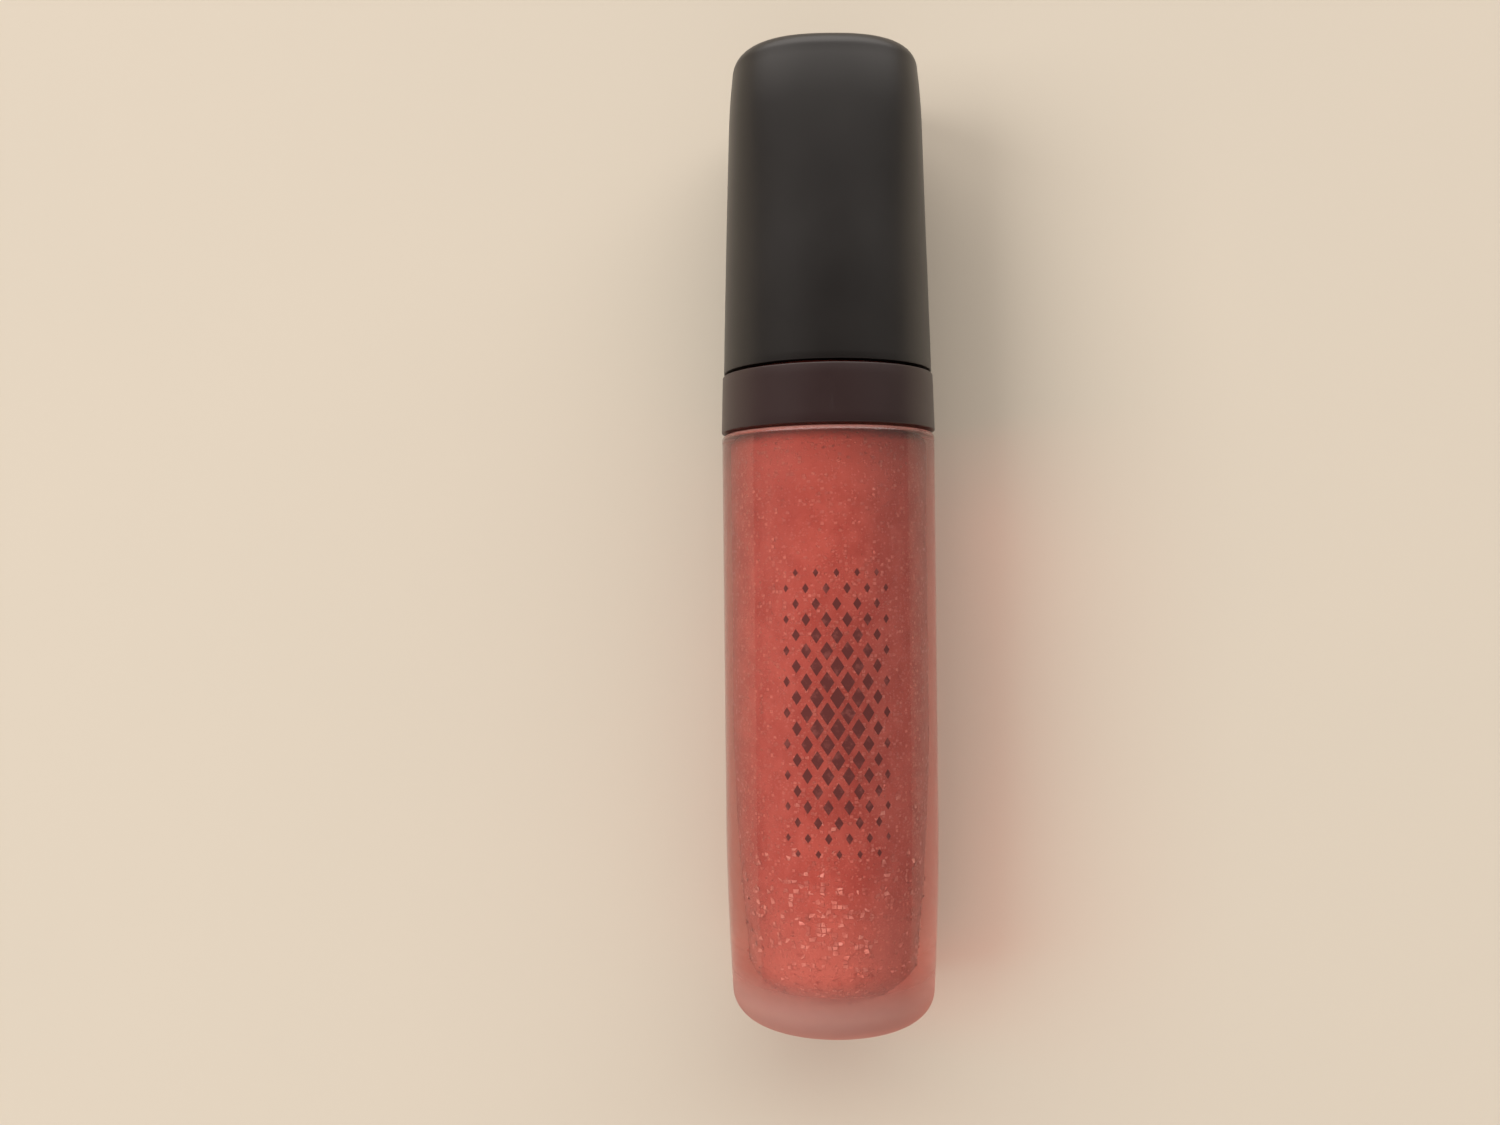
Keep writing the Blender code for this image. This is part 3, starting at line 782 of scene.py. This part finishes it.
stemSettings = {
    "sides": 64, "foot": ends("wand_stem")[0], "top": ends("wand_stem")[1], "radius": 1.68,
    "head": reach("wand_stem"), "headHeight": 1.0, "socket": 1.0, "socketDepth": 5.2, "round": 0.2,
    "streakScale": 1500.0, "streakReach": 52.0, "filmAndLiftFrom": 52.0, "filmAndLiftTo": 44.0, "filmShare": 0.85,
    "black": (0.012, 0.012, 0.012, 1), "film": (0.45, 0.07, 0.052, 1),
}
tipSettings = {
    "sides": 64, "foot": ends("applicator_flock")[0], "top": ends("applicator_flock")[1],
    "radius": reach("applicator_flock"), "core": 1.4, "gap": 0.2, "pile": 0.6,
    "slantLength": 9.0, "slantDepth": 1.9, "pin": 0.8, "pinHeight": 5.2,
    "fibres": 5200, "fibreLength": (0.10, 0.22), "fibreWidth": 0.022, "fibreLean": 0.35, "seed": 23,
    "endHeight": 0.4, "bareTop": 0.1,
    "dry": (0.66, 0.24, 0.19, 1), "wet": (0.47, 0.085, 0.064, 1),
}


def makeStemBlack():
    use = stemSettings
    material, start, shader = newMaterial("stemBlack", Specular_IOR_Level=0.5)
    height = heightAlong(start)
    streak = noise(start, objectPlace(start, (1, 0.06, 1)), use["streakScale"], 4.0, 0.6)
    # a thin film of gloss is left in streaks where the stem was dipped
    film = ranged(start, height + use["streakReach"] * streak, use["filmAndLiftFrom"], use["filmAndLiftTo"], 0.0, 1.0)
    feed(mixColour(start, film * use["filmShare"], use["black"], use["film"]), shader, "Base Color")
    feed(0.34 - 0.2 * film, shader, "Roughness")
    feed(bump(start, film, 0.03 * mm, 0.6), shader, "Normal")
    return material


def makeFlockPile():
    use = tipSettings
    material, start, shader = newMaterial("flockPile", Sheen_Weight=0.35, Sheen_Roughness=0.4, Specular_IOR_Level=0.4)
    place = objectPlace(start)
    clump = ranged(start, noise(start, place, 1500.0, 3.0, 0.6), 0.35, 0.65, 0.0, 1.0)
    feed(mixColour(start, clump, use["dry"], use["wet"]), shader, "Base Color")
    feed(0.75 - 0.45 * clump, shader, "Roughness")
    feed(bump(start, noise(start, place, 9000.0, 2.0), 0.03 * mm, 0.7), shader, "Normal")
    return material


def makeStem():
    use = stemSettings
    headFoot = use["top"] - use["headHeight"]
    socketTop = use["foot"] + use["socketDepth"]
    outline = [(0.0, socketTop), (use["socket"], socketTop), (use["socket"], use["foot"])]
    outline += [(use["radius"], use["foot"]), (use["radius"], headFoot)]
    outline += [(use["head"], headFoot), (use["head"], use["top"]), (0.0, use["top"])]
    piece = turnOutline("wand_rod", softCorners(outline, use["round"], ring=False), use["sides"])
    finishPiece(piece, makeStemBlack(), "cap", ["wand_stem"])


def slantFace(height, offset):
    # how far down the tip reaches at a height, where its slanted face cuts it
    use = tipSettings
    share = (use["foot"] + use["slantLength"] - height) / use["slantLength"]
    return use["core"] + offset - use["slantDepth"] * max(0.0, share)


def slant(piece, offsetOf):
    # the face is on the underside, because local up in the part is down here
    for vertex in piece.data.vertices:
        radius, height = polar(vertex.co)[:2]
        if height < tipSettings["foot"] + tipSettings["slantLength"]:
            lowest = axisHeight - slantFace(height, offsetOf(radius, height)) * mm
            vertex.co.z = max(vertex.co.z, lowest)
    piece.data.update()


def tipOutline(radius, foot, top):
    outline = arc((0.0, foot + radius), (radius, radius), -90, 0, 14)
    return outline + between(outline[-1], (radius, top), 40)


def makeCore(material):
    use = tipSettings
    foot = use["foot"] + use["pile"] + use["gap"]
    outline = tipOutline(use["core"], foot, use["top"])
    pinTop = use["top"] + use["pinHeight"]
    outline += [(use["pin"], use["top"]), (use["pin"], pinTop), (0.0, pinTop)]
    piece = turnOutline("applicator_core_rod", outline, use["sides"])
    slant(piece, lambda radius, height: 0.0)
    finishPiece(piece, material, "cap", ["applicator_core"])


def makeFlock(material):
    use = tipSettings
    lining = use["core"] + use["gap"]
    liningFoot = use["foot"] + use["pile"]
    limit = (lining + use["radius"]) / 2
    outline = tipOutline(lining, liningFoot, use["top"]) + tipOutline(use["radius"], use["foot"], use["top"])[::-1]
    piece = turnOutline("flocked_tip", outline, use["sides"])

    def offsetOf(radius, height):
        deep = math.hypot(radius, min(0.0, height - use["foot"] - use["radius"]))
        return use["gap"] if deep < limit else use["gap"] + use["pile"]

    slant(piece, offsetOf)
    return finishPiece(piece, material, "cap", ["applicator_flock"])


def makeFibres(tip, material):
    # short pile: three-sided spikes stood on random places of the tip's outside, drawn once from a seed
    use = tipSettings
    draw = random.Random(use["seed"])
    faces = []
    for face in inOrder(tip.data.polygons):
        height = polar(face.center)[1]
        fromAxis = face.center - Vector((0, face.center.y, axisHeight))
        outside = face.normal.dot(fromAxis) > 0 or height < use["foot"] + use["endHeight"]
        if outside and height < use["top"] - use["bareTop"] and face.area > 0:
            faces.append(face)
    weights = [face.area for face in faces]
    points, sides = [], []
    for face in draw.choices(faces, weights, k=use["fibres"]):
        order = list(face.vertices)
        first = order.index(min(order))
        corners = [tip.data.vertices[index].co for index in order[first:] + order[:first]]
        along, across = draw.random(), draw.random()
        foot = corners[0].lerp(corners[1], along).lerp(corners[-1].lerp(corners[-2], along), across)
        lean = Vector((draw.gauss(0, 1), draw.gauss(0, 1), draw.gauss(0, 1))) * use["fibreLean"]
        stand = (face.normal + lean).normalized()
        across = stand.orthogonal().normalized() * use["fibreWidth"] * mm
        beside = stand.cross(across)
        length = draw.uniform(*use["fibreLength"]) * mm
        base = len(points)
        points += [foot + across, foot - across * 0.5 + beside * 0.87, foot - across * 0.5 - beside * 0.87]
        points.append(foot + stand * length)
        sides += [(base, base + 1, base + 3), (base + 1, base + 2, base + 3)]
        sides += [(base + 2, base, base + 3), (base + 2, base + 1, base)]
    mesh = bpy.data.meshes.new("flock_fibres")
    mesh.from_pydata([tuple(point) for point in points], [], sides)
    piece = bpy.data.objects.new("flock_fibres", mesh)
    bpy.context.collection.objects.link(piece)
    finishPiece(piece, material, "cap", [])


flockPile = makeFlockPile()
makeStem()
makeCore(naturalPlastic)
makeFibres(makeFlock(flockPile), flockPile)


# Table, light and view

tableSettings = {
    "size": 4.0, "cells": 8, "cloudScale": 30.0,
    "colour": (0.585, 0.525, 0.440, 1), "warm": (0.605, 0.537, 0.447, 1),
}
viewSettings = {
    "height": 125.7 * mm, "across": -7.29 * mm, "along": -2.35 * mm, "turn": -0.61,
    "focal": 30.17, "sensor": 36.0, "nearClip": 0.001,
}
# even light from all round as (place from left to right, level), stronger beyond the two ends;
# it falls off straight overhead, where the camera is, and towards the horizon
lightSettings = {
    "sides": ((0.0, 0.90), (0.08, 0.72), (0.22, 0.60), (0.45, 0.56),
              (0.60, 0.54), (0.80, 0.54), (0.93, 0.68), (1.0, 0.82)),
    "tone": (1.0, 0.94, 0.885), "level": 0.40,
    "overhead": 0.36, "overheadFrom": 0.68, "overheadTo": 0.97, "horizon": 0.70, "horizonTo": 0.50,
    "endFrom": 0.32, "endTo": 0.70, "capBoost": 16.5, "baseBoost": 3.4,
    "seen": (0.80, 0.74, 0.68, 1),
    "lampPlace": (-1.40, 0.15, 1.30), "lampSize": (1.1, 1.1), "lampPower": 23.5, "lampTone": (1.0, 0.975, 0.94),
}
glintSettings = {"place": (0.012, -0.18, 0.42), "size": (0.22, 0.16), "power": 0.55, "tone": (1.0, 0.95, 0.90)}


def makeTable():
    use = tableSettings
    startMesh()
    bpy.ops.mesh.primitive_grid_add(x_subdivisions=use["cells"], y_subdivisions=use["cells"],
                                    size=use["size"], location=(0, 0, 0))
    table = bpy.context.object
    table.name = "table"
    material, start, shader = newMaterial("paleTable", Roughness=0.75, Specular_IOR_Level=0.2)
    cloud = noise(start, objectPlace(start), use["cloudScale"], 3.0)
    feed(mixColour(start, cloud, use["colour"], use["warm"]), shader, "Base Color")
    table.data.materials.append(material)


def makeWorld():
    use = lightSettings
    world = bpy.data.worlds.new("studio")
    world.use_nodes = True
    start = Wire(world.node_tree)
    back = world.node_tree.nodes["Background"]
    direction = start.make("ShaderNodeTexCoord", {}, {}, "Generated")
    side = start.make("ShaderNodeSeparateXYZ", {}, {0: direction}, "X")
    up = side.other("Z")
    stops = [(place, tuple(level * part / 2 for part in use["tone"]) + (1,)) for place, level in use["sides"]]
    ramp = start.make("ShaderNodeValToRGB", {"stops": stops}, {0: side * 0.5 + 0.5})
    ramp.socket.node.color_ramp.interpolation = "EASE"
    cameraRay = start.make("ShaderNodeLightPath", {}, {}, "Is Camera Ray")
    overhead = ranged(start, up, use["overheadFrom"], use["overheadTo"], 1.0, use["overhead"])
    horizon = ranged(start, up, 0.0, use["horizonTo"], use["horizon"], 1.0)
    atCap = ranged(start, side.other("Y"), use["endFrom"], use["endTo"], 1.0, use["capBoost"])
    atBase = ranged(start, side.other("Y"), -use["endTo"], -use["endFrom"], use["baseBoost"], 1.0)
    feed(mixColour(start, cameraRay, ramp, use["seen"]), back, "Color")
    strength = overhead * horizon * atCap * atBase * (2 * use["level"])
    feed(strength * (1 - cameraRay) + cameraRay, back, "Strength")
    bpy.context.scene.world = world


def addLamp(name, place, size, power, tone):
    spot = Vector(place)
    bpy.ops.object.light_add(type="AREA", location=spot, rotation=(-spot).to_track_quat("-Z", "Y").to_euler())
    lamp = bpy.context.object
    lamp.name = name
    lamp.data.shape = "RECTANGLE"
    lamp.data.size, lamp.data.size_y = size
    lamp.data.energy = power
    lamp.data.color = tone
    return lamp


def makeLamps():
    # a soft lamp on the left, kept out of the reflections, and a small one above that only the glitter catches
    use = lightSettings
    side = addLamp("side_lamp", use["lampPlace"], use["lampSize"], use["lampPower"], use["lampTone"])
    side.visible_glossy = False
    side.visible_transmission = False
    use = glintSettings
    glint = addLamp("glint_lamp", use["place"], use["size"], use["power"], use["tone"])
    caught = bpy.data.collections.new("glintCatchers")
    for name in ("coral_gloss", *glitterSettings):
        caught.objects.link(bpy.data.objects[name])
    glint.light_linking.receiver_collection = caught


def makeView():
    use = viewSettings
    bpy.ops.object.camera_add(location=(use["across"], use["along"], use["height"]),
                              rotation=(0, 0, math.radians(use["turn"])))
    camera = bpy.context.object
    camera.data.lens = use["focal"]
    camera.data.sensor_width = use["sensor"]
    camera.data.clip_start = use["nearClip"]
    bpy.context.scene.camera = camera


makeTable()
makeWorld()
makeLamps()
makeView()
bpy.context.scene.view_settings.view_transform = "Standard"
print("table, light and view are set")
